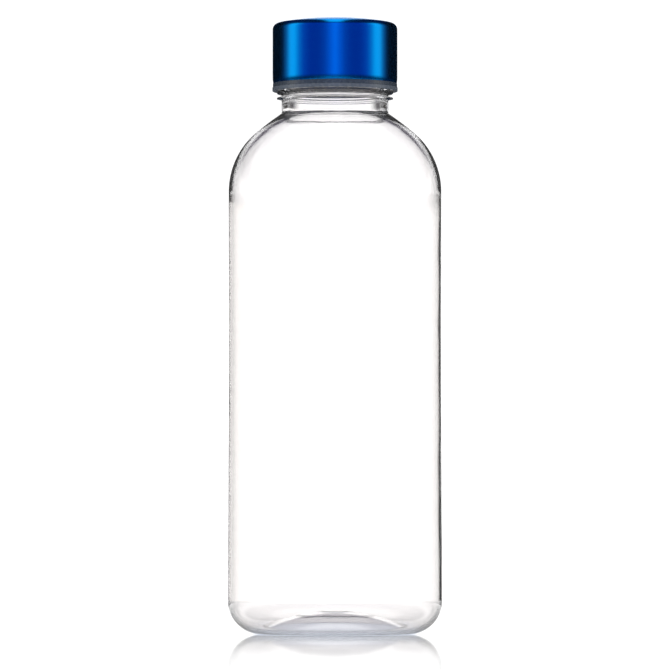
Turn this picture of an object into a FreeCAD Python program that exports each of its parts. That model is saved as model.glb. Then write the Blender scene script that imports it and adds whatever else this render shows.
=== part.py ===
"""Clear screw-cap bottle: blow-moulded bottle, cap core, aluminium cap shell and seal ring.

Millimetres, +Z up. The origin lies on the bottle's axis, in the plane that it stands on.
Every piece is turned about that axis, so each one is drawn as a half section, with the
radius across and the height up, and is revolved. The threads are swept along helices.
"""
import FreeCAD
import Part
import Sketcher
import math
import os

# --- driving dimensions -------------------------------------------------------------------

BOTTLE = {
    # standing ring, and the heel that rounds up from it to the side
    "ring_inner": 22.8,
    "ring_outer": 23.65,
    "heel_round": 10.65,
    # side, drawn in very slightly at the waist
    "waist_radius": 34.02,
    "waist_height": 85.0,
    "shoulder_radius": 34.15,
    "shoulder_base": 141.8,
    # shoulder: a round low arc that runs on into a flatter high arc
    "shoulder_low_round": 24.9,
    "shoulder_turn": 49.9,
    "shoulder_high_round": 98.65,
    # neck and its two rings
    "neck_radius": 17.15,
    "neck_fillet": 0.8,
    "support_ring_height": 171.68,
    "support_ring_radius": 18.7,
    "support_ring_root": 0.55,
    "support_ring_edge": 0.2,
    "bead_height": 173.8,
    "bead_radius": 18.7,
    "bead_root": 1.1,
    "bead_edge": 0.7,
    "lip_height": 191.65,
    "lip_round": 0.7,
    # pushed-up base: a dome with a raised mould insert and a gate recess in its middle
    "dome_apex": 5.35,
    "dome_blend": 2.5,
    "insert_radius": 11.7,
    "insert_step": 0.25,
    "gate_radius": 5.0,
    "gate_depth": 0.35,
    # inside surface
    "side_wall": 0.7,
    "heel_inner_round": 9.85,
    "base_wall": 1.1,
    "floor_apex": 6.6,
    "floor_blend": 2.4,
    "button_radius": 4.8,
    "button_step": 0.15,
    "break_wall": 1.8,
    "shoulder_inner_round": 60.0,
    "throat_round": 0.5,
    "bore_radius": 14.9,
}

THREAD = {
    # three starts, one lead per turn
    "lead": 9.525,
    "starts": 3.0,
    "thread_rise": 5.3,
    "thread_middle": 180.4,
    "thread_crest": 18.15,
    "thread_root_half": 1.0,
    "thread_crest_half": 0.5,
    "thread_embed": 0.4,
    "cap_thread_crest": 17.45,
    "cap_thread_embed": 0.4,
    "cap_thread_root_half": 0.7,
    "cap_thread_crest_half": 0.35,
}

CAP = {
    # drawn shell: slightly domed top with a rounded edge, plain side
    "cap_top": 197.6,
    "crown_round": 105.0,
    "crown_flat": 2.0,
    "shell_radius": 20.05,
    "shell_wall": 0.45,
    "shell_round": 2.1,
    "shell_rim_round": 0.15,
    "shell_foot": 176.6,
    # moulded core: flange below the shell, tube pressed into it, top plate and plug ring
    "press": 0.02,
    "flange_foot": 174.0,
    "flange_radius": 20.12,
    "flange_shoulder": 19.95,
    "flange_step": 175.2,
    "flange_gap": 0.05,
    "flange_edge": 0.15,
    "counterbore_radius": 18.95,
    "counterbore_top": 175.4,
    "core_bore": 18.6,
    "plate_gap": 0.05,
    "plate": 1.5,
    "plug_radius": 13.5,
    "plug_wall": 1.2,
    "plug_drop": 2.7,
}

SEAL = {
    "seal_outer": 18.2,
    "seal_inner": 13.8,
    "seal_thick": 2.1,
    "seal_gap": 0.1,
    "seal_round": 0.3,
}


def work_out(sizes):
    """Adds the places that follow from the driving dimensions."""
    turn = math.radians(sizes["shoulder_turn"])
    low = sizes["shoulder_low_round"]
    high = sizes["shoulder_high_round"]
    low_x = sizes["shoulder_radius"] - low
    low_z = sizes["shoulder_base"]
    sizes["break_radius"] = low_x + low * math.cos(turn)
    sizes["break_height"] = low_z + low * math.sin(turn)
    # the high arc's centre lies on the line through the break and the low arc's centre
    high_x = low_x - (high - low) * math.cos(turn)
    high_z = low_z - (high - low) * math.sin(turn)
    # the neck fillet touches the neck and the high arc
    add_fillet(sizes, "neck_foot", "neck_base", (high_x, high_z), high,
               sizes["neck_radius"], sizes["neck_fillet"])
    # the inside of the low arc lets the wall thicken from the side up to the break
    reach = low - sizes["break_wall"]
    sizes["break_inner_radius"] = low_x + reach * math.cos(turn)
    sizes["break_inner_height"] = low_z + reach * math.sin(turn)
    inset = sizes["shoulder_radius"] - sizes["side_wall"] - sizes["break_inner_radius"]
    low_inside = inset / (1 - math.cos(turn))
    sizes["shoulder_low_inside"] = low_inside
    sizes["shoulder_inner_base"] = (
        sizes["break_inner_height"] - low_inside * math.sin(turn)
    )
    # above the break a tighter arc than the outside thickens it further towards the bore
    inner = sizes["shoulder_inner_round"]
    inner_x = sizes["break_inner_radius"] - inner * math.cos(turn)
    inner_z = sizes["break_inner_height"] - inner * math.sin(turn)
    add_fillet(sizes, "throat", "bore_foot", (inner_x, inner_z), inner,
               sizes["bore_radius"], sizes["throat_round"])
    add_crown(sizes)
    add_dome(sizes, "dome", sizes["ring_inner"], 0.0)
    add_dome(sizes, "floor", sizes["ring_outer"], sizes["base_wall"])
    for name, dome in (("gate", "dome"), ("insert", "dome"), ("button", "floor")):
        sizes[f"{name}_height"] = on_ball(
            sizes[f"{dome}_apex"], sizes[f"{dome}_round"], sizes[f"{name}_radius"]
        )
    # the cap's teeth run halfway between the bottle's
    sizes["cap_thread_middle"] = (
        sizes["thread_middle"] - sizes["lead"] / sizes["starts"] / 2
    )
    return sizes


def add_fillet(sizes, foot, base, centre, arc, wall, fillet):
    """Adds where a fillet leaves the arc about centre (foot) and meets a tube's wall (base)."""
    across = wall + fillet - centre[0]
    up = math.sqrt((arc + fillet) ** 2 - across ** 2)
    sizes[f"{foot}_radius"] = centre[0] + across * arc / (arc + fillet)
    sizes[f"{foot}_height"] = centre[1] + up * arc / (arc + fillet)
    sizes[base] = centre[1] + up


def add_crown(sizes):
    """Adds where the shell's domed top meets its flat middle and its rounded edge.

    The outside and the inside are concentric, so each place lies on one line from the centre.
    """
    ball = sizes["crown_round"]
    edge = sizes["shell_round"]
    flat = sizes["crown_flat"]
    across = sizes["shell_radius"] - edge
    up = math.sqrt((ball - edge) ** 2 - across ** 2)
    flat_up = math.sqrt(ball ** 2 - flat ** 2)
    centre = sizes["cap_top"] - flat_up
    sizes["shell_side_top"] = centre + up
    for place, radius in (("crown", ball), ("crown_inside", ball - sizes["shell_wall"])):
        share = radius / (ball - edge)
        sizes[f"{place}_edge_radius"] = across * share
        sizes[f"{place}_edge_height"] = centre + up * share
        sizes[f"{place}_flat_radius"] = flat * radius / ball
        sizes[f"{place}_flat_height"] = centre + flat_up * radius / ball


def add_dome(sizes, name, ring_radius, ring_height):
    """Adds the ball that a dome's blend meets smoothly, and where they meet.

    The blend rises from level ground at the ring, and the ball carries it to the apex.
    """
    blend = sizes[f"{name}_blend"]
    drop = sizes[f"{name}_apex"] - ring_height - blend
    ball = (ring_radius ** 2 + drop ** 2 - blend ** 2) / (2 * (blend + drop))
    share = ball / (ball + blend)
    sizes[f"{name}_round"] = ball
    sizes[f"{name}_foot_radius"] = ring_radius * share
    sizes[f"{name}_foot_height"] = on_ball(
        sizes[f"{name}_apex"], ball, ring_radius * share
    )


def on_ball(apex, radius, out):
    """Height of a ball of that radius and highest point, at a distance out from its axis."""
    return apex - radius + math.sqrt(radius ** 2 - out ** 2)


SIZES = work_out({**BOTTLE, **THREAD, **CAP, **SEAL})

# --- sheet and sketch helpers ---------------------------------------------------------------

AXIS = "0"
CCW = 1
CW = -1


def add_sheet(doc):
    """Writes every size into the spreadsheet as a plain number with its name as the alias."""
    sheet = doc.addObject("Spreadsheet::Sheet", "Sizes")
    for row, (name, value) in enumerate(SIZES.items(), start=1):
        sheet.set(f"A{row}", name)
        sheet.set(f"B{row}", repr(round(value, 6)))
        sheet.setAlias(f"B{row}", name)
    doc.recompute()
    return sheet


def total(text):
    """Value of a sum of named sizes, such as "neck_radius + lip_round"."""
    value = 0.0
    sign = 1
    for word in text.split():
        if word in ("+", "-"):
            sign = 1 if word == "+" else -1
        elif word != AXIS:
            value += sign * SIZES[word]
    return value


def bound(text):
    """The same sum as an expression that reads the sheet."""
    words = [word if word in ("+", "-") else f"Sizes.{word}" for word in text.split()]
    return " ".join(words)


def origin_feature(body, role):
    """The body's own origin plane or axis of that role."""
    return next(f for f in body.Origin.OriginFeatures if f.Role == role)


def arc_between(start, end, radius, way):
    """Minor arc from start to end, turning counter-clockwise or clockwise."""
    chord = end - start
    middle = (start + end) * 0.5
    sagging = math.sqrt(radius ** 2 - (chord.Length / 2) ** 2)
    to_left = FreeCAD.Vector(-chord.y, chord.x, 0) / chord.Length
    centre = middle + to_left * (sagging * way)
    first, last = (start, end) if way == CCW else (end, start)
    angles = [math.atan2(p.y - centre.y, p.x - centre.x) for p in (first, last)]
    circle = Part.Circle(centre, FreeCAD.Vector(0, 0, 1), radius)
    return Part.ArcOfCircle(circle, angles[0], angles[1])


def section(body, name, outline):
    """Closed half section on the body's XZ plane, every size bound to the sheet.

    Each entry is (radius, height) for a corner, or (radius, height, arc radius, way) where
    the edge from that corner to the next is an arc.
    """
    sketch = body.newObject("Sketcher::SketchObject", name)
    sketch.AttachmentSupport = [(origin_feature(body, "XZ_Plane"), "")]
    sketch.MapMode = "FlatFace"
    corners = [FreeCAD.Vector(total(c[0]), total(c[1]), 0) for c in outline]
    starts = []
    ends = []
    for i, corner in enumerate(outline):
        start = corners[i]
        end = corners[(i + 1) % len(corners)]
        if len(corner) == 4:
            way = corner[3]
            sketch.addGeometry(arc_between(start, end, total(corner[2]), way), False)
            starts.append((i, 1 if way == CCW else 2))
            ends.append((i, 2 if way == CCW else 1))
        else:
            sketch.addGeometry(Part.LineSegment(start, end), False)
            starts.append((i, 1))
            ends.append((i, 2))
    for i, corner in enumerate(outline):
        sketch.addConstraint(Sketcher.Constraint("Coincident", *ends[i - 1], *starts[i]))
        pin(sketch, starts[i], "DistanceX", corner[0], -2)
        pin(sketch, starts[i], "DistanceY", corner[1], -1)
        if len(corner) == 4:
            radius = sketch.addConstraint(
                Sketcher.Constraint("Radius", i, total(corner[2]))
            )
            sketch.setExpression(f"Constraints[{radius}]", bound(corner[2]))
    return sketch


def pin(sketch, point, kind, text, zero_axis):
    """Holds one coordinate of a sketch point at a sum of sizes, or on an axis."""
    if text == AXIS:
        sketch.addConstraint(Sketcher.Constraint("PointOnObject", *point, zero_axis))
        return
    constraint = sketch.addConstraint(
        Sketcher.Constraint(kind, -1, 1, *point, total(text))
    )
    sketch.setExpression(f"Constraints[{constraint}]", bound(text))


def turned(doc, body, kind, name, outline):
    """Adds (Revolution) or cuts (Groove) the outline turned once about the bottle's axis."""
    sketch = section(body, f"{name}_section", outline)
    feature = body.newObject(f"PartDesign::{kind}", name)
    feature.Profile = sketch
    feature.ReferenceAxis = (sketch, ["V_Axis"])
    feature.Angle = 360
    sketch.Visibility = False
    doc.recompute()


def thread_tooth(name, root, buried):
    """Tooth that narrows from its root to its crest, with its foot buried in the wall."""
    middle = f"{name}_middle"
    crest = f"{name}_crest"
    wide = f"{name}_root_half"
    narrow = f"{name}_crest_half"
    return [
        (buried, f"{middle} - {wide}"),
        (root, f"{middle} - {wide}"),
        (crest, f"{middle} - {narrow}"),
        (crest, f"{middle} + {narrow}"),
        (root, f"{middle} + {wide}"),
        (buried, f"{middle} + {wide}"),
    ]


def screw_thread(doc, body, name, outline):
    """Sweeps the tooth up one helix and repeats it round the axis once for each start."""
    sketch = section(body, f"{name}_section", outline)
    helix = body.newObject("PartDesign::AdditiveHelix", name)
    helix.Profile = sketch
    helix.ReferenceAxis = (sketch, ["V_Axis"])
    helix.Mode = "pitch-height-angle"
    helix.setExpression("Pitch", "Sizes.lead")
    helix.setExpression("Height", "Sizes.thread_rise")
    sketch.Visibility = False
    doc.recompute()
    pattern = body.newObject("PartDesign::PolarPattern", f"{name}_starts")
    pattern.Originals = [helix]
    pattern.Axis = (origin_feature(body, "Z_Axis"), [""])
    pattern.Angle = 360
    pattern.setExpression("Occurrences", "Sizes.starts")
    body.Tip = pattern
    doc.recompute()


def new_body(doc, name):
    """An empty body whose label names its file."""
    body = doc.addObject("PartDesign::Body", name)
    body.Label = name
    return body


# --- bottle ---------------------------------------------------------------------------------


def neck_ring(name):
    """Four corners of a ring round the neck that thins towards its edge."""
    middle = f"{name}_height"
    root = f"{name}_root"
    edge = f"{name}_edge"
    return [
        ("neck_radius", f"{middle} - {root}"),
        (f"{name}_radius", f"{middle} - {edge}"),
        (f"{name}_radius", f"{middle} + {edge}"),
        ("neck_radius", f"{middle} + {root}"),
    ]


def bottle_outside():
    """Base, heel, side, shoulder, neck and lip, from the middle of the base outward."""
    return [
        (AXIS, "gate_height + insert_step + gate_depth"),
        ("gate_radius", "gate_height + insert_step + gate_depth"),
        ("gate_radius", "gate_height + insert_step", "dome_round", CW),
        ("insert_radius", "insert_height + insert_step"),
        ("insert_radius", "insert_height", "dome_round", CW),
        ("dome_foot_radius", "dome_foot_height", "dome_blend", CCW),
        ("ring_inner", AXIS),
        ("ring_outer", AXIS, "heel_round", CCW),
        ("ring_outer + heel_round", "heel_round"),
        ("waist_radius", "waist_height"),
        ("shoulder_radius", "shoulder_base", "shoulder_low_round", CCW),
        ("break_radius", "break_height", "shoulder_high_round", CCW),
        ("neck_foot_radius", "neck_foot_height", "neck_fillet", CW),
        ("neck_radius", "neck_base"),
        *neck_ring("support_ring"),
        *neck_ring("bead"),
        ("neck_radius", "lip_height - lip_round", "lip_round", CCW),
        ("neck_radius - lip_round", "lip_height"),
        (AXIS, "lip_height"),
    ]


def bottle_inside():
    """Space inside the bottle, from the middle of its floor out and up through the mouth."""
    return [
        (AXIS, "button_height + button_step"),
        ("button_radius", "button_height + button_step"),
        ("button_radius", "button_height", "floor_round", CW),
        ("floor_foot_radius", "floor_foot_height", "floor_blend", CCW),
        ("ring_outer", "base_wall", "heel_inner_round", CCW),
        ("ring_outer + heel_inner_round", "base_wall + heel_inner_round"),
        ("waist_radius - side_wall", "waist_height"),
        (
            "shoulder_radius - side_wall",
            "shoulder_inner_base",
            "shoulder_low_inside",
            CCW,
        ),
        ("break_inner_radius", "break_inner_height", "shoulder_inner_round", CCW),
        ("throat_radius", "throat_height", "throat_round", CW),
        ("bore_radius", "bore_foot"),
        ("bore_radius", "lip_height - lip_round", "lip_round", CW),
        ("bore_radius + lip_round", "lip_height"),
        ("bore_radius + lip_round", "lip_height + lip_round"),
        (AXIS, "lip_height + lip_round"),
    ]


def add_bottle(doc):
    """Blow-moulded bottle: solid of revolution, hollowed, with its thread outside the neck."""
    body = new_body(doc, "bottle")
    turned(doc, body, "Revolution", "bottle_blank", bottle_outside())
    turned(doc, body, "Groove", "bottle_cavity", bottle_inside())
    tooth = thread_tooth("thread", "neck_radius", "neck_radius - thread_embed")
    screw_thread(doc, body, "neck_thread", tooth)
    return body


# --- cap and seal ---------------------------------------------------------------------------


def shell_outline():
    """Drawn aluminium cup: side, rounded edge and domed top, one wall thick."""
    inside = "shell_radius - shell_wall"
    return [
        (inside, "shell_foot"),
        ("shell_radius - shell_rim_round", "shell_foot", "shell_rim_round", CCW),
        ("shell_radius", "shell_foot + shell_rim_round"),
        ("shell_radius", "shell_side_top", "shell_round", CCW),
        ("crown_edge_radius", "crown_edge_height", "crown_round", CCW),
        ("crown_flat_radius", "crown_flat_height"),
        (AXIS, "crown_flat_height"),
        (AXIS, "crown_inside_flat_height"),
        ("crown_inside_flat_radius", "crown_inside_flat_height",
         "crown_round - shell_wall", CW),
        ("crown_inside_edge_radius", "crown_inside_edge_height",
         "shell_round - shell_wall", CW),
        (inside, "shell_side_top"),
    ]


def core_outline():
    """Moulded cap core: flange below the shell, tube inside it, top plate and plug ring."""
    outside = "shell_radius - shell_wall + press"
    plate_top = "crown_inside_edge_height - plate_gap"
    plate_foot = f"{plate_top} - plate"
    plug_foot = f"{plate_foot} - plug_drop"
    corner = "shell_radius - shell_round"
    return [
        ("counterbore_radius", "flange_foot"),
        ("flange_radius - flange_edge", "flange_foot", "flange_edge", CCW),
        ("flange_radius", "flange_foot + flange_edge"),
        ("flange_radius", "flange_step"),
        ("flange_shoulder", "flange_step + flange_edge"),
        ("flange_shoulder", "shell_foot - flange_gap"),
        (outside, "shell_foot - flange_gap"),
        (outside, "shell_side_top - shell_wall"),
        (corner, plate_top),
        (AXIS, plate_top),
        (AXIS, plate_foot),
        ("plug_radius - plug_wall", plate_foot),
        ("plug_radius - plug_wall", plug_foot),
        ("plug_radius - seal_round", plug_foot, "seal_round", CCW),
        ("plug_radius", f"{plug_foot} + seal_round"),
        ("plug_radius", plate_foot),
        ("core_bore", plate_foot),
        ("core_bore", "counterbore_top"),
        ("counterbore_radius", "counterbore_top - flange_edge"),
    ]


def seal_outline():
    """Flat silicone ring with rounded edges, between the lip and the cap core."""
    foot = "lip_height + seal_gap"
    top = f"{foot} + seal_thick"
    return [
        ("seal_inner + seal_round", foot),
        ("seal_outer - seal_round", foot, "seal_round", CCW),
        ("seal_outer", f"{foot} + seal_round"),
        ("seal_outer", f"{top} - seal_round", "seal_round", CCW),
        ("seal_outer - seal_round", top),
        ("seal_inner + seal_round", top, "seal_round", CCW),
        ("seal_inner", f"{top} - seal_round"),
        ("seal_inner", f"{foot} + seal_round", "seal_round", CCW),
    ]


def add_cap_shell(doc):
    body = new_body(doc, "cap_shell")
    turned(doc, body, "Revolution", "shell_cup", shell_outline())
    return body


def add_cap_core(doc):
    """Cap core, with an inner thread that runs midway between the bottle's teeth."""
    body = new_body(doc, "cap_core")
    turned(doc, body, "Revolution", "core_blank", core_outline())
    tooth = thread_tooth("cap_thread", "core_bore", "core_bore + cap_thread_embed")
    screw_thread(doc, body, "core_thread", tooth)
    return body


def add_seal_ring(doc):
    body = new_body(doc, "seal_ring")
    turned(doc, body, "Revolution", "seal_band", seal_outline())
    return body


# --- build and write ------------------------------------------------------------------------


def check(doc, bodies):
    """Stops if any object failed or any piece isn't one valid solid."""
    for thing in doc.Objects:
        states = set(thing.State)
        if states & {"Invalid", "Error"}:
            raise RuntimeError(f"{thing.Name} failed: {thing.State}")
    for body in bodies:
        shape = body.Shape
        if shape.isNull() or not shape.isValid() or len(shape.Solids) != 1:
            raise RuntimeError(f"{body.Label} isn't one valid solid")


def main():
    doc = FreeCAD.newDocument("bottle_with_screw_cap")
    add_sheet(doc)
    bodies = [add_bottle(doc), add_cap_core(doc), add_cap_shell(doc), add_seal_ring(doc)]
    doc.recompute()
    check(doc, bodies)
    os.makedirs("parts", exist_ok=True)
    for body in bodies:
        body.Shape.exportStep(f"parts/{body.Label}.step")
        box = body.Shape.BoundBox
        print(f"{body.Label}: {body.Shape.Volume:.0f} mm3, z {box.ZMin:.2f} to {box.ZMax:.2f}")


main()
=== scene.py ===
import math

import bpy
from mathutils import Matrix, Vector, noise


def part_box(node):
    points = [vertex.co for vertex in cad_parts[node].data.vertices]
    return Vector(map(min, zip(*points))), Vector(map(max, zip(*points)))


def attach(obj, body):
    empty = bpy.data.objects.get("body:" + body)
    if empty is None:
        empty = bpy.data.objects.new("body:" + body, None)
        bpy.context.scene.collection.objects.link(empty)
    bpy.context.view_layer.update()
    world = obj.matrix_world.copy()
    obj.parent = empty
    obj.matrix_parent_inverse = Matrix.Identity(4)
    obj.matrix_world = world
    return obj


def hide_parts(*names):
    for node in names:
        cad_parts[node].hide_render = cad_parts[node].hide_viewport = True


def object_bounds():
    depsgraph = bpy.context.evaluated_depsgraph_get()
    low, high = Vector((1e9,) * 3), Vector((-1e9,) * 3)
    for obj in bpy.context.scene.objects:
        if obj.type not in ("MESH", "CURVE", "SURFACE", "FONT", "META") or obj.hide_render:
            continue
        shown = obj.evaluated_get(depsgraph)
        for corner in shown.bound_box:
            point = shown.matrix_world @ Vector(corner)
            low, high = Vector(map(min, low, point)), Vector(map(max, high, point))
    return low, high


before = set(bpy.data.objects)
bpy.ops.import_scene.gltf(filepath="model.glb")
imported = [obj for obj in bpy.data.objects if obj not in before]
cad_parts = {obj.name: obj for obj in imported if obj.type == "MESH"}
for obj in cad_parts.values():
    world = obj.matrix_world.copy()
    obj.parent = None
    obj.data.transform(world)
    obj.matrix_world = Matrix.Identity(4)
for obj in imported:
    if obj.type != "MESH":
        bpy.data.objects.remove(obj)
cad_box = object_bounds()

# Looks of the clear screw-cap bottle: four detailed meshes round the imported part's axis,
# their materials, a bright-field studio and the camera. Profiles are in millimetres, with
# the radius across and the height up, and become metres when a mesh is made.

MM = 0.001
TURN = 2 * math.pi

# --- places read from the frame -------------------------------------------------------------


def top_of(node):
    """Height of a CAD node's highest point, in millimetres."""
    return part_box(node)[1][2] / MM


def foot_of(node):
    """Height of a CAD node's lowest point, in millimetres."""
    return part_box(node)[0][2] / MM


def radius_of(node):
    """Largest radius of a CAD node, in millimetres."""
    low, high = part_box(node)
    return (high[0] - low[0]) / 2 / MM


LIP = top_of("bottle")
HEEL_RADIUS = radius_of("bottle")
CAP_TOP = top_of("cap_shell")
SHELL_FOOT = foot_of("cap_shell")
SHELL_RADIUS = radius_of("cap_shell")
CORE_FOOT = foot_of("cap_core")
CORE_TOP = top_of("cap_core")
FLANGE_RADIUS = radius_of("cap_core")
SEAL_FOOT = foot_of("seal_ring")
SEAL_TOP = top_of("seal_ring")
SEAL_RADIUS = radius_of("seal_ring")

# --- outline helpers ------------------------------------------------------------------------


def arc(centre, radius, start, end, step=3.0):
    """Points on an arc about centre, from one angle to the other in degrees."""
    count = max(2, math.ceil(abs(end - start) / step))
    points = []
    for i in range(count + 1):
        angle = math.radians(start + (end - start) * i / count)
        across = centre[0] + radius * math.cos(angle)
        up = centre[1] + radius * math.sin(angle)
        points.append((across, up))
    return points


def ball(apex, radius, first, last, count=24):
    """Points on a dome of that apex height, between two distances from the axis."""
    points = []
    for i in range(count + 1):
        out = first + (last - first) * i / count
        points.append((out, apex - radius + math.sqrt(radius ** 2 - out ** 2)))
    return points


def dome_over(ring, ground, blend, apex):
    """Ball radius, and where it meets the blend that rises from level ground at the ring."""
    drop = apex - ground - blend
    radius = (ring ** 2 + drop ** 2 - blend ** 2) / (2 * (blend + drop))
    share = radius / (radius + blend)
    return radius, ring * share


def rounded(corners, steps=5):
    """Straight-sided outline whose corners (radius, height, rounding) are rounded off."""
    points = []
    for i, (across, up, rounding) in enumerate(corners):
        here = Vector((across, up))
        if rounding == 0 or i in (0, len(corners) - 1):
            points.append((across, up))
            continue
        back = (Vector(corners[i - 1][:2]) - here).normalized()
        ahead = (Vector(corners[i + 1][:2]) - here).normalized()
        half = back.angle(ahead) / 2
        start = here + back * (rounding / math.tan(half))
        end = here + ahead * (rounding / math.tan(half))
        centre = here + (back + ahead).normalized() * (rounding / math.sin(half))
        for k in range(steps + 1):
            share = k / steps
            point = (start.lerp(end, share) - centre).normalized() * rounding + centre
            points.append((point.x, point.y))
    return points


def eased(start, end, count):
    """Points from start to end that leave and arrive straight up or down."""
    points = []
    for i in range(count + 1):
        share = i / count
        swing = (1 - math.cos(math.pi * share)) / 2
        across = start[0] + (end[0] - start[0]) * swing
        points.append((across, start[1] + (end[1] - start[1]) * share))
    return points


def straight(start, end, count):
    """Evenly spaced points on a straight line."""
    points = []
    for i in range(count + 1):
        share = i / count
        across = start[0] + (end[0] - start[0]) * share
        points.append((across, start[1] + (end[1] - start[1]) * share))
    return points


def joined(*runs):
    """One outline from several, without the points that repeat where they meet."""
    points = []
    for run in runs:
        for point in run:
            if not points or math.dist(point, points[-1]) > 1e-4:
                points.append(point)
    return points


# --- mesh helpers ---------------------------------------------------------------------------


def add_piece(name, mesh, body, node, material):
    """Puts a finished mesh in the scene in place of its CAD node."""
    piece = bpy.data.objects.new(name, mesh)
    bpy.context.scene.collection.objects.link(piece)
    mesh.materials.append(material)
    mesh.polygons.foreach_set("use_smooth", [True] * len(mesh.polygons))
    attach(piece, body)
    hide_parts(node)
    return piece


def turned(name, outline, segments, shape=None, closed=False):
    """Mesh of an outline turned about the axis.

    The outline runs anticlockwise round the solid's half section. An open one starts and
    ends on the axis. shape(index, angle, radius, height) returns the moved radius.
    """
    points = outline if closed else outline[1:-1]
    verts = []
    for index, (across, up) in enumerate(points):
        for i in range(segments):
            angle = TURN * i / segments
            out = across if shape is None else shape(index, angle, across, up)
            verts.append((out * math.cos(angle) * MM, out * math.sin(angle) * MM, up * MM))
    faces = []
    rows = len(points)
    for row in range(rows if closed else rows - 1):
        here = row * segments
        above = (row + 1) % rows * segments
        for i in range(segments):
            j = (i + 1) % segments
            faces.append((here + i, here + j, above + j, above + i))
    if not closed:
        first = len(verts)
        verts.append((0.0, 0.0, outline[0][1] * MM))
        verts.append((0.0, 0.0, outline[-1][1] * MM))
        last_row = (rows - 1) * segments
        for i in range(segments):
            j = (i + 1) % segments
            faces.append((first, j, i))
            faces.append((first + 1, last_row + i, last_row + j))
    mesh = bpy.data.meshes.new(name)
    mesh.from_pydata(verts, [], faces)
    mesh.update()
    return mesh


# --- screw thread, the same helix on the bottle and in the cap ------------------------------

LEAD = 9.525
STARTS = 3
THREAD_RISE = 5.3
THREAD_MIDDLE = 180.4
THREAD_FADE = math.radians(16)


def thread_height(angle, up, middle, root_half, crest_half):
    """How far a tooth stands at that angle and height: 0 at its root, 1 on its crest."""
    sweep = TURN * THREAD_RISE / LEAD
    best = 0.0
    for start in range(STARTS):
        along = (angle - TURN * start / STARTS) % TURN
        for turn in (along, along - TURN):
            if -THREAD_FADE < turn < sweep + THREAD_FADE:
                centre = middle + LEAD * turn / TURN
                inside = min(turn + THREAD_FADE, sweep + THREAD_FADE - turn)
                fade = min(1.0, inside / THREAD_FADE)
                fade = fade * fade * (3 - 2 * fade)
                flank = (root_half - abs(up - centre)) / (root_half - crest_half)
                best = max(best, min(1.0, max(0.0, flank)) * fade)
    return best


# --- bottle ---------------------------------------------------------------------------------

RING_INNER = 22.8
RING_OUTER = 23.65
HEEL_ROUND = HEEL_RADIUS - RING_OUTER
WAIST_RADIUS = 34.02
WAIST_HEIGHT = 85.0
SHOULDER_RADIUS = 34.15
SHOULDER_BASE = 141.8
SHOULDER_LOW_ROUND = 24.9
SHOULDER_TURN = 49.9
SHOULDER_HIGH_ROUND = 98.65
NECK_RADIUS = 17.15
NECK_FILLET = 0.8
# rings round the neck: height, radius, half height at the root and at the edge, rounding
SUPPORT_RING = (171.68, 18.7, 0.55, 0.2, 0.15)
BEAD = (173.8, 18.7, 1.1, 0.7, 0.6)
RING_ROOT_ROUND = 0.2
LIP_ROUND = 0.7
THREAD_CREST = 18.15
THREAD_FOOT = 176.0
THREAD_TOP = 190.2
THREAD_ROOT_HALF = 1.0
THREAD_CREST_HALF = 0.5

DOME_APEX = 5.35
DOME_BLEND = 2.5
INSERT_RADIUS = 11.7
INSERT_STEP = 0.25
INSERT_EDGE = 0.3
INSERT_SOFT = 0.08
GATE_RADIUS = 5.0
GATE_DEPTH = 0.35
GATE_EDGE = 0.5
GATE_FALL = 0.05
GATE_SOFT = 0.12

SIDE_WALL = 0.7
HEEL_INNER_ROUND = 9.85
BASE_WALL = 1.1
FLOOR_APEX = 6.6
FLOOR_BLEND = 2.4
BUTTON_RADIUS = 4.8
BUTTON_STEP = 0.15
BUTTON_EDGE = 0.6
BUTTON_FALL = 0.07
BUTTON_SOFT = 0.4
FLOOR_START = BUTTON_RADIUS + 0.7
BREAK_WALL = 1.8
SHOULDER_INNER_ROUND = 60.0
THROAT_ROUND = 0.5
BORE_RADIUS = 14.9

BOTTLE_SEGMENTS = 288
LOWER_ROWS = 40
UPPER_ROWS = 32
THREAD_ROWS = 90
SHOULDER_STEP = 1.5
LIP_STEP = 12
WAVE_DEPTH = 0.05
WAVE_LENGTH = 16.0
WAVE_FOOT = 4.0
WAVE_FOOT_FADE = 8.0
WAVE_TOP = 160.0
WAVE_TOP_FADE = 25.0
INSIDE_PHASE = 500.0


def base_outside():
    """Pushed-up base from its middle out to the standing ring."""
    radius, foot = dome_over(RING_INNER, 0.0, DOME_BLEND, DOME_APEX)
    gate = ball(DOME_APEX, radius, GATE_RADIUS, GATE_RADIUS, 1)[0][1] + INSERT_STEP
    insert = ball(DOME_APEX, radius, INSERT_RADIUS, INSERT_RADIUS, 1)[0][1]
    blend_turn = math.degrees(math.asin(foot / radius))
    ledge_start = GATE_RADIUS + GATE_EDGE
    ledge_end = INSERT_RADIUS - INSERT_EDGE
    return joined(
        rounded(
            [
                (0.0, gate + GATE_DEPTH, 0),
                (GATE_RADIUS, gate + GATE_DEPTH, GATE_SOFT),
                (GATE_RADIUS, gate, GATE_SOFT),
                (ledge_start, gate - GATE_FALL, 0),
            ]
        ),
        ball(DOME_APEX + INSERT_STEP, radius, ledge_start, ledge_end, 12),
        rounded(
            [
                (ledge_end, insert + INSERT_STEP + INSERT_SOFT, 0),
                (INSERT_RADIUS, insert + INSERT_STEP, INSERT_SOFT),
                (INSERT_RADIUS, insert, INSERT_SOFT),
                (INSERT_RADIUS + INSERT_EDGE, insert - INSERT_SOFT, 0),
            ]
        ),
        ball(DOME_APEX, radius, INSERT_RADIUS + INSERT_EDGE, foot, 20),
        arc((RING_INNER, DOME_BLEND), DOME_BLEND, 270 - blend_turn, 270),
    )


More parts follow.
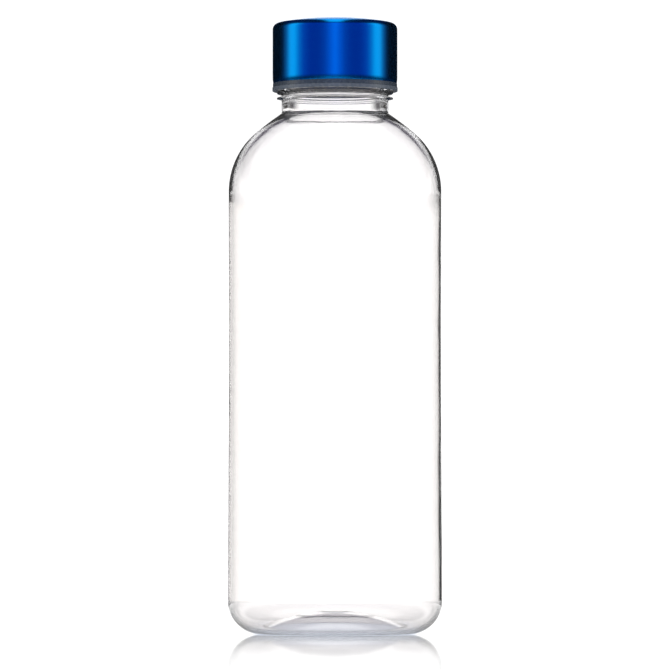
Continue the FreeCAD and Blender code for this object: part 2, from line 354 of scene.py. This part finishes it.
def neck_ring(ring):
    """Corners of a rounded ring round the neck that thins towards its edge."""
    height, radius, root, edge, soft = ring
    return [
        (NECK_RADIUS, height - root, RING_ROOT_ROUND),
        (radius, height - edge, soft),
        (radius, height + edge, soft),
        (NECK_RADIUS, height + root, RING_ROOT_ROUND),
    ]


SHOULDER_CENTRE = (SHOULDER_RADIUS - SHOULDER_LOW_ROUND, SHOULDER_BASE)


def along_turn(point, reach):
    """The point that lies a distance out along the line through the shoulder's break."""
    turn = math.radians(SHOULDER_TURN)
    return point[0] + reach * math.cos(turn), point[1] + reach * math.sin(turn)


def up_to_tube(centre, radius, wall, fillet):
    """Arc from the shoulder's break on to a fillet that turns up into a tube's wall."""
    across = wall + fillet
    span = radius + fillet
    middle = (across, centre[1] + math.sqrt(span ** 2 - (across - centre[0]) ** 2))
    end = math.degrees(math.atan2(middle[1] - centre[1], across - centre[0]))
    return joined(
        arc(centre, radius, SHOULDER_TURN, end, 0.7),
        arc(middle, fillet, 180 + end, 180, 6),
    )


def bottle_outside():
    """Outer surface from the middle of the base up to the lip."""
    high = along_turn(SHOULDER_CENTRE, SHOULDER_LOW_ROUND - SHOULDER_HIGH_ROUND)
    rising = up_to_tube(high, SHOULDER_HIGH_ROUND, NECK_RADIUS, NECK_FILLET)
    neck = rounded(
        [
            (*rising[-1], 0),
            *neck_ring(SUPPORT_RING),
            *neck_ring(BEAD),
            (NECK_RADIUS, THREAD_FOOT, 0),
        ]
    )
    return joined(
        base_outside(),
        arc((RING_OUTER, HEEL_ROUND), HEEL_ROUND, 270, 360),
        eased((HEEL_RADIUS, HEEL_ROUND), (WAIST_RADIUS, WAIST_HEIGHT), LOWER_ROWS),
        eased((WAIST_RADIUS, WAIST_HEIGHT), (SHOULDER_RADIUS, SHOULDER_BASE), UPPER_ROWS),
        arc(SHOULDER_CENTRE, SHOULDER_LOW_ROUND, 0, SHOULDER_TURN, SHOULDER_STEP),
        rising,
        neck,
        straight((NECK_RADIUS, THREAD_FOOT), (NECK_RADIUS, THREAD_TOP), THREAD_ROWS),
        arc((NECK_RADIUS - LIP_ROUND, LIP - LIP_ROUND), LIP_ROUND, 0, 90, LIP_STEP),
    )


def bottle_inside():
    """Inner surface from the lip down to the middle of the floor."""
    radius, foot = dome_over(RING_OUTER, BASE_WALL, FLOOR_BLEND, FLOOR_APEX)
    # the wall thickens from the side up to the shoulder's break and on to the throat
    turn = math.radians(SHOULDER_TURN)
    side = SHOULDER_RADIUS - SIDE_WALL
    break_inside = along_turn(SHOULDER_CENTRE, SHOULDER_LOW_ROUND - BREAK_WALL)
    low_inside = (side - break_inside[0]) / (1 - math.cos(turn))
    low_centre = (side - low_inside, break_inside[1] - low_inside * math.sin(turn))
    high = along_turn(low_centre, low_inside - SHOULDER_INNER_ROUND)
    throat = up_to_tube(high, SHOULDER_INNER_ROUND, BORE_RADIUS, THROAT_ROUND)
    heel_top = BASE_WALL + HEEL_INNER_ROUND
    inner_heel = RING_OUTER + HEEL_INNER_ROUND
    button = ball(FLOOR_APEX, radius, BUTTON_RADIUS, BUTTON_RADIUS, 1)[0][1]
    flat = button + BUTTON_STEP
    flat_end = (BUTTON_RADIUS - BUTTON_EDGE, flat)
    blend_turn = math.degrees(math.asin(foot / radius))
    waist = (WAIST_RADIUS - SIDE_WALL, WAIST_HEIGHT)
    rising = joined(
        straight((0.0, flat), flat_end, 3),
        rounded(
            [
                (*flat_end, 0),
                (BUTTON_RADIUS, flat, BUTTON_SOFT),
                (BUTTON_RADIUS + BUTTON_EDGE, button - BUTTON_FALL, 0),
            ]
        ),
        ball(FLOOR_APEX, radius, FLOOR_START, foot, 24),
        arc((RING_OUTER, BASE_WALL + FLOOR_BLEND), FLOOR_BLEND, 270 - blend_turn, 270),
        arc((RING_OUTER, heel_top), HEEL_INNER_ROUND, 270, 360),
        eased((inner_heel, heel_top), waist, LOWER_ROWS),
        eased(waist, (side, low_centre[1]), UPPER_ROWS),
        arc(low_centre, low_inside, 0, SHOULDER_TURN, SHOULDER_STEP),
        throat,
        straight(throat[-1], (BORE_RADIUS, LIP - LIP_ROUND), 20),
        arc((BORE_RADIUS + LIP_ROUND, LIP - LIP_ROUND), LIP_ROUND, 180, 90, LIP_STEP),
    )
    return rising[::-1]


def wave(angle, across, up, phase):
    """Gentle unevenness of blown plastic, 0 to 1, none at the neck or on the base."""
    over_base = min(1.0, max(0.0, (up - WAVE_FOOT) / WAVE_FOOT_FADE))
    under_neck = min(1.0, max(0.0, (WAVE_TOP - up) / WAVE_TOP_FADE))
    calm = over_base * under_neck
    place = Vector((across * math.cos(angle), across * math.sin(angle), up + phase))
    return calm * (0.5 + 0.5 * noise.noise(place / WAVE_LENGTH))


def make_bottle(material):
    """Blown bottle: outside and inside in one closed wall, with the thread's three teeth."""
    outside = bottle_outside()
    inside = bottle_inside()
    outline = joined(outside, inside)
    outside_rows = len(outside) - 1

    def shape(index, angle, across, up):
        if index >= outside_rows:
            return across + WAVE_DEPTH * wave(angle, across, up, INSIDE_PHASE)
        out = across - WAVE_DEPTH * wave(angle, across, up, 0.0)
        if THREAD_FOOT < up < THREAD_TOP:
            halves = (THREAD_ROOT_HALF, THREAD_CREST_HALF)
            tooth = thread_height(angle, up, THREAD_MIDDLE, *halves)
            out += (THREAD_CREST - NECK_RADIUS) * tooth
        return out

    mesh = turned("bottle_glass", outline, BOTTLE_SEGMENTS, shape)
    return add_piece("bottle_glass", mesh, "bottle", "bottle", material)


# --- cap ------------------------------------------------------------------------------------

SHELL_WALL = 0.45
SHELL_ROUND = 2.1
RIM_ROUND = 0.18
ROLL_START = 0.25
ROLL_HEIGHT = 1.8
ROLL_TUCK = 0.16
ROLL_ROWS = 16
CROWN_ROUND = 105.0
CROWN_SPAN = math.asin((SHELL_RADIUS - SHELL_ROUND) / (CROWN_ROUND - SHELL_ROUND))
SIDE_TOP = CAP_TOP - CROWN_ROUND + (CROWN_ROUND - SHELL_ROUND) * math.cos(CROWN_SPAN)
CORE_BORE = 18.6
COUNTERBORE = 18.95
COUNTERBORE_TOP = 175.4
COUNTERBORE_BEVEL = 0.15
FLANGE_STEP = 1.2
FLANGE_BEVEL = 0.12
FLANGE_TUCK = 0.17
SHELL_GAP = 0.05
TUBE_FOOT = 176.5
TUBE_TOP = 188.0
TUBE_ROWS = 80
CAP_THREAD_CREST = 17.45
CAP_THREAD_ROOT_HALF = 0.7
CAP_THREAD_CREST_HALF = 0.35
CAP_THREAD_MIDDLE = THREAD_MIDDLE - LEAD / STARTS / 2
PLATE = 1.5
PLUG_RADIUS = 13.5
PLUG_WALL = 1.2
PLUG_DROP = 2.7
SEAL_INNER = 13.8
SEAL_SOFT = 0.3
CAP_SEGMENTS = 256


def foot_roll(rolled):
    """The last stretch of the shell's side, which curves in to a radius at the rim."""
    points = []
    for i in range(ROLL_ROWS + 1):
        share = i / ROLL_ROWS
        across = SHELL_RADIUS - (SHELL_RADIUS - rolled) * (1 - share) ** 2
        rise = ROLL_START + (ROLL_HEIGHT - ROLL_START) * share
        points.append((across, SHELL_FOOT + rise))
    return points


def make_cap_shell(material):
    """Drawn cup with a slightly domed top, a rounded edge and a smooth rim."""
    inner = SHELL_RADIUS - SHELL_WALL
    edge = (SHELL_RADIUS - SHELL_ROUND, SIDE_TOP)
    crown = (0.0, CAP_TOP - CROWN_ROUND)
    edge_turn = 90 - math.degrees(CROWN_SPAN)
    rim_top = SHELL_FOOT + RIM_ROUND
    roll_top = SHELL_FOOT + ROLL_HEIGHT
    rolled = SHELL_RADIUS - ROLL_TUCK
    outline = joined(
        arc(crown, CROWN_ROUND - SHELL_WALL, 90, edge_turn, 1.0),
        arc(edge, SHELL_ROUND - SHELL_WALL, edge_turn, 0, 9),
        straight((inner, SIDE_TOP), (inner, rim_top), 6),
        arc((inner + RIM_ROUND, rim_top), RIM_ROUND, 180, 270, 15),
        arc((rolled - RIM_ROUND, rim_top), RIM_ROUND, 270, 350, 15),
        foot_roll(rolled),
        straight((SHELL_RADIUS, roll_top), (SHELL_RADIUS, SIDE_TOP), 20),
        arc(edge, SHELL_ROUND, 0, edge_turn, 5),
        arc(crown, CROWN_ROUND, edge_turn, 90, 0.4),
    )
    mesh = turned("cap_shell_brushed", outline, CAP_SEGMENTS)
    return add_piece(
        "cap_shell_brushed", mesh, "cap", "cap_shell", material
    )


def make_cap_core(material):
    """Moulded core: flange ring, threaded tube, top plate and plug ring."""
    sleeve = SHELL_RADIUS - SHELL_WALL
    plate_foot = CORE_TOP - PLATE
    plug_foot = plate_foot - PLUG_DROP
    step = CORE_FOOT + FLANGE_STEP
    shoulder = FLANGE_RADIUS - FLANGE_TUCK
    seat = SHELL_FOOT - SHELL_GAP
    corner = SHELL_RADIUS - SHELL_ROUND
    inside = rounded(
        [
            (0.0, plate_foot, 0),
            (PLUG_RADIUS - PLUG_WALL, plate_foot, 0.2),
            (PLUG_RADIUS - PLUG_WALL, plug_foot, 0.3),
            (PLUG_RADIUS, plug_foot, 0.3),
            (PLUG_RADIUS, plate_foot, 0.15),
            (CORE_BORE, plate_foot, 0.3),
            (CORE_BORE, TUBE_TOP, 0),
        ]
    )
    tube = straight((CORE_BORE, TUBE_TOP), (CORE_BORE, TUBE_FOOT), TUBE_ROWS)
    outside = rounded(
        [
            (CORE_BORE, TUBE_FOOT, 0),
            (CORE_BORE, COUNTERBORE_TOP, 0.1),
            (COUNTERBORE, COUNTERBORE_TOP - COUNTERBORE_BEVEL, 0.1),
            (COUNTERBORE, CORE_FOOT, 0.12),
            (FLANGE_RADIUS, CORE_FOOT, 0.2),
            (FLANGE_RADIUS, step, 0.08),
            (shoulder, step + FLANGE_BEVEL, 0.08),
            (shoulder, seat, 0.1),
            (sleeve, seat, 0.05),
            (sleeve, SIDE_TOP - SHELL_WALL, 0.3),
            (corner, CORE_TOP, 0.3),
            (0.0, CORE_TOP, 0),
        ]
    )

    def shape(index, angle, across, up):
        if math.isclose(across, CORE_BORE) and TUBE_FOOT < up < TUBE_TOP:
            halves = (CAP_THREAD_ROOT_HALF, CAP_THREAD_CREST_HALF)
            tooth = thread_height(angle, up, CAP_THREAD_MIDDLE, *halves)
            return across - (CORE_BORE - CAP_THREAD_CREST) * tooth
        return across

    outline = joined(inside, tube, outside)
    mesh = turned("cap_core_moulded", outline, CAP_SEGMENTS, shape)
    return add_piece("cap_core_moulded", mesh, "cap", "cap_core", material)


def make_seal(material):
    """Silicone ring with rounded edges."""
    corners = [
        (SEAL_INNER, SEAL_FOOT, SEAL_SOFT),
        (SEAL_RADIUS, SEAL_FOOT, SEAL_SOFT),
        (SEAL_RADIUS, SEAL_TOP, SEAL_SOFT),
        (SEAL_INNER, SEAL_TOP, SEAL_SOFT),
    ]
    # each corner needs a neighbour on both sides while the edges are rounded
    outline = rounded([corners[-1], *corners, corners[0]])[1:-1]
    mesh = turned("seal_silicone", outline, CAP_SEGMENTS, closed=True)
    return add_piece("seal_silicone", mesh, "seal", "seal_ring", material)


# --- shader helpers -------------------------------------------------------------------------


def new_material(name):
    """Node material holding only a Principled shader, returned with its tree and shader."""
    material = bpy.data.materials.new(name)
    material.use_nodes = True
    tree = material.node_tree
    shader = tree.nodes["Principled BSDF"]
    return material, tree, shader


def add(tree, kind, **inputs):
    """New shader node with some inputs set. Underscores in names stand for spaces."""
    node = tree.nodes.new(kind)
    for name, value in inputs.items():
        node.inputs[name.replace("_", " ")].default_value = value
    return node


def stretched_noise(tree, stretch, scale, detail=3.0, roughness=0.6):
    """Noise over object coordinates stretched by a factor on each axis."""
    coords = tree.nodes.new("ShaderNodeTexCoord")
    mapping = add(tree, "ShaderNodeMapping", Scale=stretch)
    texture = add(
        tree, "ShaderNodeTexNoise", Scale=scale, Detail=detail, Roughness=roughness
    )
    tree.links.new(coords.outputs["Object"], mapping.inputs["Vector"])
    tree.links.new(mapping.outputs["Vector"], texture.inputs["Vector"])
    return texture


def remap(tree, source, low, high):
    """Spreads a 0 to 1 value over low to high."""
    node = add(tree, "ShaderNodeMapRange", To_Min=low, To_Max=high)
    tree.links.new(source, node.inputs["Value"])
    return node.outputs["Result"]


def bump(tree, shader, height, strength, distance):
    """Feeds a height into the shader's normal."""
    node = add(tree, "ShaderNodeBump", Strength=strength, Distance=distance)
    tree.links.new(height, node.inputs["Height"])
    tree.links.new(node.outputs["Normal"], shader.inputs["Normal"])


def split_coords(tree, kind):
    """X, Y and Z of a texture coordinate."""
    coords = tree.nodes.new("ShaderNodeTexCoord")
    split = tree.nodes.new("ShaderNodeSeparateXYZ")
    tree.links.new(coords.outputs[kind], split.inputs["Vector"])
    return split.outputs


def length_of(tree, *parts):
    """Length of the vector with these parts along X, Y and Z."""
    vector = tree.nodes.new("ShaderNodeCombineXYZ")
    for socket, part in zip(vector.inputs, parts):
        tree.links.new(part, socket)
    length = tree.nodes.new("ShaderNodeVectorMath")
    length.operation = "LENGTH"
    tree.links.new(vector.outputs["Vector"], length.inputs[0])
    return length.outputs["Value"]


def value_of(tree, operation, *values):
    """Math node on sockets or numbers, returned as its result."""
    node = tree.nodes.new("ShaderNodeMath")
    node.operation = operation
    for socket, value in zip(node.inputs, values):
        if isinstance(value, (int, float)):
            socket.default_value = value
        else:
            tree.links.new(value, socket)
    return node.outputs["Value"]


def light_ramp(tree, value, level, stops):
    """Light that follows an angle through (degrees, colour) stops, times a level."""
    node = tree.nodes.new("ShaderNodeValToRGB")
    ramp = node.color_ramp
    while len(ramp.elements) < len(stops):
        ramp.elements.new(0.5)
    for element, (degrees, colour) in zip(ramp.elements, stops):
        element.position = degrees / 180
        if isinstance(colour, float):
            colour = (colour, colour, colour)
        element.color = (*colour, 1)
    tree.links.new(value, node.inputs["Fac"])
    scale = tree.nodes.new("ShaderNodeVectorMath")
    scale.operation = "SCALE"
    scale.inputs["Scale"].default_value = level
    tree.links.new(node.outputs["Color"], scale.inputs[0])
    return scale.outputs["Vector"]


def choose(tree, factor, if_not, if_so):
    """Blend of two colours, given as tuples or sockets, by a factor from 0 to 1."""
    node = tree.nodes.new("ShaderNodeMix")
    node.data_type = "RGBA"
    tree.links.new(factor, node.inputs["Factor"])
    for socket, colour in ((node.inputs["A"], if_not), (node.inputs["B"], if_so)):
        if isinstance(colour, tuple):
            socket.default_value = colour
        else:
            tree.links.new(colour, socket)
    return node.outputs["Result"]


def smooth_step(tree, value, start, end):
    """0 before the start and 1 past the end, with a soft passage between."""
    node = add(tree, "ShaderNodeMapRange", From_Min=start, From_Max=end)
    node.interpolation_type = "SMOOTHSTEP"
    tree.links.new(value, node.inputs["Value"])
    return node.outputs["Result"]


# --- materials ------------------------------------------------------------------------------


def clear_plastic():
    """Clear copolyester: polished, faintly uneven, with a slight cool tint in its depth."""
    material, tree, shader = new_material("clear_plastic")
    shader.inputs["Base Color"].default_value = (1.0, 0.985, 0.98, 1)
    shader.inputs["IOR"].default_value = 1.54
    shader.inputs["Transmission Weight"].default_value = 0.97
    ripple = stretched_noise(tree, (1, 1, 0.5), scale=90.0, detail=2.0)
    rough = remap(tree, ripple.outputs["Fac"], 0.0, 0.012)
    tree.links.new(rough, shader.inputs["Roughness"])
    bump(tree, shader, ripple.outputs["Fac"], strength=0.02, distance=0.001)
    volume = add(tree, "ShaderNodeVolumeAbsorption", Density=14.0)
    volume.inputs["Color"].default_value = (0.55, 0.68, 0.9, 1)
    output = tree.nodes["Material Output"]
    tree.links.new(volume.outputs["Volume"], output.inputs["Volume"])
    return material


def blue_aluminium():
    """Aluminium brushed round the axis and anodised blue."""
    material, tree, shader = new_material("blue_aluminium")
    shader.inputs["Metallic"].default_value = 1.0
    shader.inputs["Anisotropic"].default_value = 0.6
    shader.inputs["Anisotropic Rotation"].default_value = 0.25
    tangent = tree.nodes.new("ShaderNodeTangent")
    tangent.direction_type = "RADIAL"
    tangent.axis = "Z"
    tree.links.new(tangent.outputs["Tangent"], shader.inputs["Tangent"])
    lines = brush_lines(tree)
    colour = choose(tree, lines, (0.0, 0.25, 0.7, 1), (0.002, 0.31, 0.84, 1))
    tree.links.new(colour, shader.inputs["Base Color"])
    rough = remap(tree, lines, 0.17, 0.25)
    tree.links.new(rough, shader.inputs["Roughness"])
    bump(tree, shader, lines, strength=0.25, distance=0.00002)
    return material


def brush_lines(tree):
    """Fine lines that run round the axis: steps in height on the side, in radius on top."""
    x, y, z = split_coords(tree, "Object")
    around = value_of(tree, "ARCTAN2", y, x)
    across = value_of(tree, "SUBTRACT", z, length_of(tree, x, y))
    place = tree.nodes.new("ShaderNodeCombineXYZ")
    tree.links.new(around, place.inputs["X"])
    tree.links.new(across, place.inputs["Y"])
    mapping = add(tree, "ShaderNodeMapping", Scale=(1.2, 9000.0, 1.0))
    tree.links.new(place.outputs["Vector"], mapping.inputs["Vector"])
    texture = add(tree, "ShaderNodeTexNoise", Scale=1.0, Detail=4.0, Roughness=0.7)
    tree.links.new(mapping.outputs["Vector"], texture.inputs["Vector"])
    return texture.outputs["Fac"]


def grey_plastic():
    """Smoky translucent polypropylene with a satin moulded surface, and painted light on the
    foot of its flange.
    """
    material, tree, shader = new_material("grey_plastic")
    grain = stretched_noise(tree, (1, 1, 1), scale=900.0, detail=4.0)
    smoky = choose(
        tree, grain.outputs["Fac"], (0.028, 0.036, 0.05, 1), (0.045, 0.058, 0.078, 1)
    )
    # painted light: the foot of the flange, below its step, is coloured lighter for the light
    # that comes through it
    z = split_coords(tree, "Object")["Z"]
    step = (CORE_FOOT + FLANGE_STEP) * MM
    foot = smooth_step(tree, z, step + 0.1 * MM, step - 0.1 * MM)
    colour = choose(tree, foot, smoky, (0.085, 0.1, 0.125, 1))
    tree.links.new(colour, shader.inputs["Base Color"])
    shader.inputs["IOR"].default_value = 1.49
    rough = remap(tree, grain.outputs["Fac"], 0.2, 0.34)
    tree.links.new(rough, shader.inputs["Roughness"])
    bump(tree, shader, grain.outputs["Fac"], strength=0.15, distance=0.0001)
    return material


def silicone():
    """Milky silicone, soft and matt."""
    material, tree, shader = new_material("silicone")
    shader.inputs["Base Color"].default_value = (0.78, 0.79, 0.8, 1)
    shader.inputs["Subsurface Weight"].default_value = 0.3
    shader.inputs["Subsurface Radius"].default_value = (0.002, 0.002, 0.002)
    grain = stretched_noise(tree, (1, 1, 1), scale=700.0)
    rough = remap(tree, grain.outputs["Fac"], 0.45, 0.6)
    tree.links.new(rough, shader.inputs["Roughness"])
    bump(tree, shader, grain.outputs["Fac"], strength=0.1, distance=0.0001)
    return material


# --- studio ---------------------------------------------------------------------------------

ROOM = 1.15
FLOOR_FRONT = 0.6
FLOOR_SIDE = 0.3
FLOOR_BACK = 0.16
FLOOR_SEGMENTS = 96
FLOOR_GAP = 0.00005
GLOSS_START = 0.05
GLOSS_END = 0.95
# painted light: where the glowing pool under the bottle lies, how much of the floor it
# covers, and its colour
PAINTED_POOL_INNER = 0.022
PAINTED_POOL_OUTER = 0.032
PAINTED_POOL_SHARE = 0.75
PAINTED_POOL_LIGHT = (0.82, 0.88, 1.0, 1)


def pale_floor():
    """Glossy white table that fades into the white of the backdrop on every side, with a
    painted pool of light under the bottle.
    """
    mesh = bpy.data.meshes.new("floor")
    rim = []
    for i in range(FLOOR_SEGMENTS):
        angle = TURN * i / FLOOR_SEGMENTS
        depth = FLOOR_BACK if math.sin(angle) > 0 else FLOOR_FRONT
        rim.append((FLOOR_SIDE * math.cos(angle), depth * math.sin(angle), 0.0))
    mesh.from_pydata(rim, [], [tuple(range(FLOOR_SEGMENTS))])
    floor = bpy.data.objects.new("floor", mesh)
    floor.location.z = cad_box[0][2] - FLOOR_GAP
    bpy.context.scene.collection.objects.link(floor)
    material, tree, shader = new_material("pale_floor")
    shader.inputs["Base Color"].default_value = (0.9, 0.9, 0.9, 1)
    shader.inputs["Roughness"].default_value = 0.04
    # away from the bottle the gloss gives way to an evenly lit white sweep
    x, y, z = split_coords(tree, "Object")
    beside = value_of(tree, "DIVIDE", x, FLOOR_SIDE)
    behind = value_of(tree, "DIVIDE", value_of(tree, "MAXIMUM", y, 0.0), FLOOR_BACK)
    before = value_of(tree, "DIVIDE", value_of(tree, "MINIMUM", y, 0.0), FLOOR_FRONT)
    away = smooth_step(tree, length_of(tree, beside, behind, before), GLOSS_START, GLOSS_END)
    sweep = add(tree, "ShaderNodeEmission", Strength=ROOM)
    blend = tree.nodes.new("ShaderNodeMixShader")
    tree.links.new(away, blend.inputs["Fac"])
    tree.links.new(shader.outputs["BSDF"], blend.inputs[1])
    tree.links.new(sweep.outputs["Emission"], blend.inputs[2])
    # painted light: a cool glowing pool inside the standing ring stands in for the room's
    # light that the base gathers onto the table
    painted_pool_mask = smooth_step(tree, length_of(tree, x, y, z), PAINTED_POOL_OUTER, PAINTED_POOL_INNER)
    painted_pool_glow = add(tree, "ShaderNodeEmission", Color=PAINTED_POOL_LIGHT)
    mixed = tree.nodes.new("ShaderNodeMixShader")
    tree.links.new(value_of(tree, "MULTIPLY", painted_pool_mask, PAINTED_POOL_SHARE), mixed.inputs["Fac"])
    tree.links.new(blend.outputs["Shader"], mixed.inputs[1])
    tree.links.new(painted_pool_glow.outputs["Emission"], mixed.inputs[2])
    tree.links.new(mixed.outputs["Shader"], tree.nodes["Material Output"].inputs["Surface"])
    mesh.materials.append(material)


BACKDROP = 1.4
OVERHEAD = 1.3
MIRRORED = 1.3
WARM_DARK = (0.030, 0.026, 0.024)
RAIL = (0.17, 0.155, 0.19, 1)
DARK_BELOW = (0.0, 0.01, 0.03, 1)
DARK_ABOVE = (0.0, 0.01, 0.05, 1)
SIDE_PANEL = (0.98, 1.0, 0.96)
WHITE = (BACKDROP, BACKDROP, BACKDROP, 1)
PALE = (BACKDROP, BACKDROP * 0.985, BACKDROP * 0.965, 1)
LAMP = (OVERHEAD, OVERHEAD, OVERHEAD, 1)
WHOLE_ROOM = (ROOM, ROOM, ROOM, 1)
# where each band begins and is complete, as the upward part of a ray's direction
CARDS_FOOT = (0.061, 0.067)
CARDS_TOP = (0.13, 0.18)
RAIL_FOOT = (0.31, 0.42)
RAIL_TOP = (0.68, 0.8)
TABLE_EDGE = (-0.14, -0.24)
DARK_FLOOR = (0.0, -0.12)
DARK_CEILING = (0.45, 0.65)
# the same for the sideways part
RIGHT_SIDE = (-0.02, 0.02)
LAMP_WIDTH = (0.25, 0.1)
# light round the set as (degrees from straight behind the bottle, colour) stops: what
# surfaces mirror, and what is seen through the plastic at the neck's height, where cards
# hang on both sides, and lower down, where only the right side has some
MIRRORED_STOPS = [
    (0, 0.95),
    (5, 0.95),
    (9, 0.0),
    (60, 0.0),
    (69, (0.01, 0.02, 0.04)),
    (80, (0.25, 0.25, 0.32)),
    (89, SIDE_PANEL),
    (100, SIDE_PANEL),
    (109, (0.4, 0.4, 0.6)),
    (119, (0.06, 0.12, 0.4)),
    (133, (0.0, 0.05, 0.28)),
    (150, (0.0, 0.05, 0.28)),
    (162, (0.04, 0.1, 0.38)),
    (172, (0.12, 0.24, 0.68)),
    (180, (0.26, 0.4, 0.92)),
]
CARDS_STOPS = [
    (0, 1.0),
    (7, 1.0),
    (11, 0.45),
    (16, WARM_DARK),
    (38, WARM_DARK),
    (45, 0.2),
    (52, 0.12),
    (72, 0.12),
    (80, 0.8),
    (100, 0.8),
    (108, WARM_DARK),
    (180, 0.06),
]
RIGHT_STOPS = [
    (0, 1.0),
    (10, 1.0),
    (15, 0.04),
    (23, 0.04),
    (30, 0.42),
    (60, 0.6),
    (80, 0.8),
    (100, 0.8),
    (180, 0.5),
]


def studio_world():
    """White backdrop for the lens, and panels and flags round the set for the rest."""
    world = bpy.data.worlds.new("studio")
    bpy.context.scene.world = world
    world.use_nodes = True
    tree = world.node_tree
    background = tree.nodes["Background"]
    sideways, away, height = split_coords(tree, "Generated")
    # angle from straight behind the bottle, as seen from the camera: 0 to 1 for 0 to 180
    angle = value_of(tree, "ARCTAN2", sideways, away)
    around = value_of(tree, "DIVIDE", value_of(tree, "ABSOLUTE", angle), math.pi)
    mirrored = light_ramp(tree, around, MIRRORED, MIRRORED_STOPS)
    cards = light_ramp(tree, around, BACKDROP, CARDS_STOPS)
    right = light_ramp(tree, around, BACKDROP, RIGHT_STOPS)
    # through the plastic: pale below the cards, and grey panels there on the right
    rightward = smooth_step(tree, sideways, *RIGHT_SIDE)
    refracted = choose(tree, rightward, PALE, right)
    refracted = choose(tree, smooth_step(tree, height, *CARDS_FOOT), refracted, cards)
    # over the cards the backdrop is white again, up to a dark rail below the lamp
    refracted = choose(tree, smooth_step(tree, height, *CARDS_TOP), refracted, WHITE)
    refracted = choose(tree, smooth_step(tree, height, *RAIL_FOOT), refracted, RAIL)
    over = smooth_step(tree, height, *RAIL_TOP)
    refracted = choose(tree, over, refracted, WHITE)
    refracted = choose(tree, smooth_step(tree, height, *TABLE_EDGE), refracted, WHITE)
    # mirrored: darkness below and above the set, and the narrow lamp overhead
    mirrored = choose(tree, smooth_step(tree, height, *DARK_FLOOR), mirrored, DARK_BELOW)
    mirrored = choose(tree, smooth_step(tree, height, *DARK_CEILING), mirrored, DARK_ABOVE)
    central = smooth_step(tree, value_of(tree, "ABSOLUTE", sideways), *LAMP_WIDTH)
    lamp = value_of(tree, "MULTIPLY", over, central)
    mirrored = choose(tree, lamp, mirrored, LAMP)
    path = tree.nodes.new("ShaderNodeLightPath")
    light = choose(tree, path.outputs["Is Glossy Ray"], WHOLE_ROOM, mirrored)
    light = choose(tree, path.outputs["Is Transmission Ray"], light, refracted)
    # light that has met a matt surface comes from the whole room
    matt = value_of(tree, "GREATER_THAN", path.outputs["Diffuse Depth"], 0.5)
    light = choose(tree, matt, light, WHOLE_ROOM)
    tree.links.new(light, background.inputs["Color"])


CAMERA_DISTANCE = 1.763
CAMERA_HEIGHT = 0.0368
SENSOR_WIDTH = 36.0
FRAME_WIDTH = 0.2147
FRAME_CENTRE = 0.0958


def camera():
    """Long lens, low and slightly upturned, as a product is shot on a table."""
    data = bpy.data.cameras.new("camera")
    data.sensor_width = SENSOR_WIDTH
    data.lens = SENSOR_WIDTH * CAMERA_DISTANCE / FRAME_WIDTH
    data.clip_end = 20.0
    eye = Vector((0, -CAMERA_DISTANCE, CAMERA_HEIGHT))
    aim = Vector((0, 0, FRAME_CENTRE))
    item = bpy.data.objects.new("camera", data)
    item.location = eye
    item.rotation_euler = (aim - eye).to_track_quat("-Z", "Y").to_euler()
    bpy.context.scene.collection.objects.link(item)
    bpy.context.scene.camera = item


# --- the scene ------------------------------------------------------------------------------

camera()
studio_world()
pale_floor()
make_bottle(clear_plastic())
make_cap_core(grey_plastic())
make_cap_shell(blue_aluminium())
make_seal(silicone())

bpy.context.scene.view_settings.view_transform = "Standard"
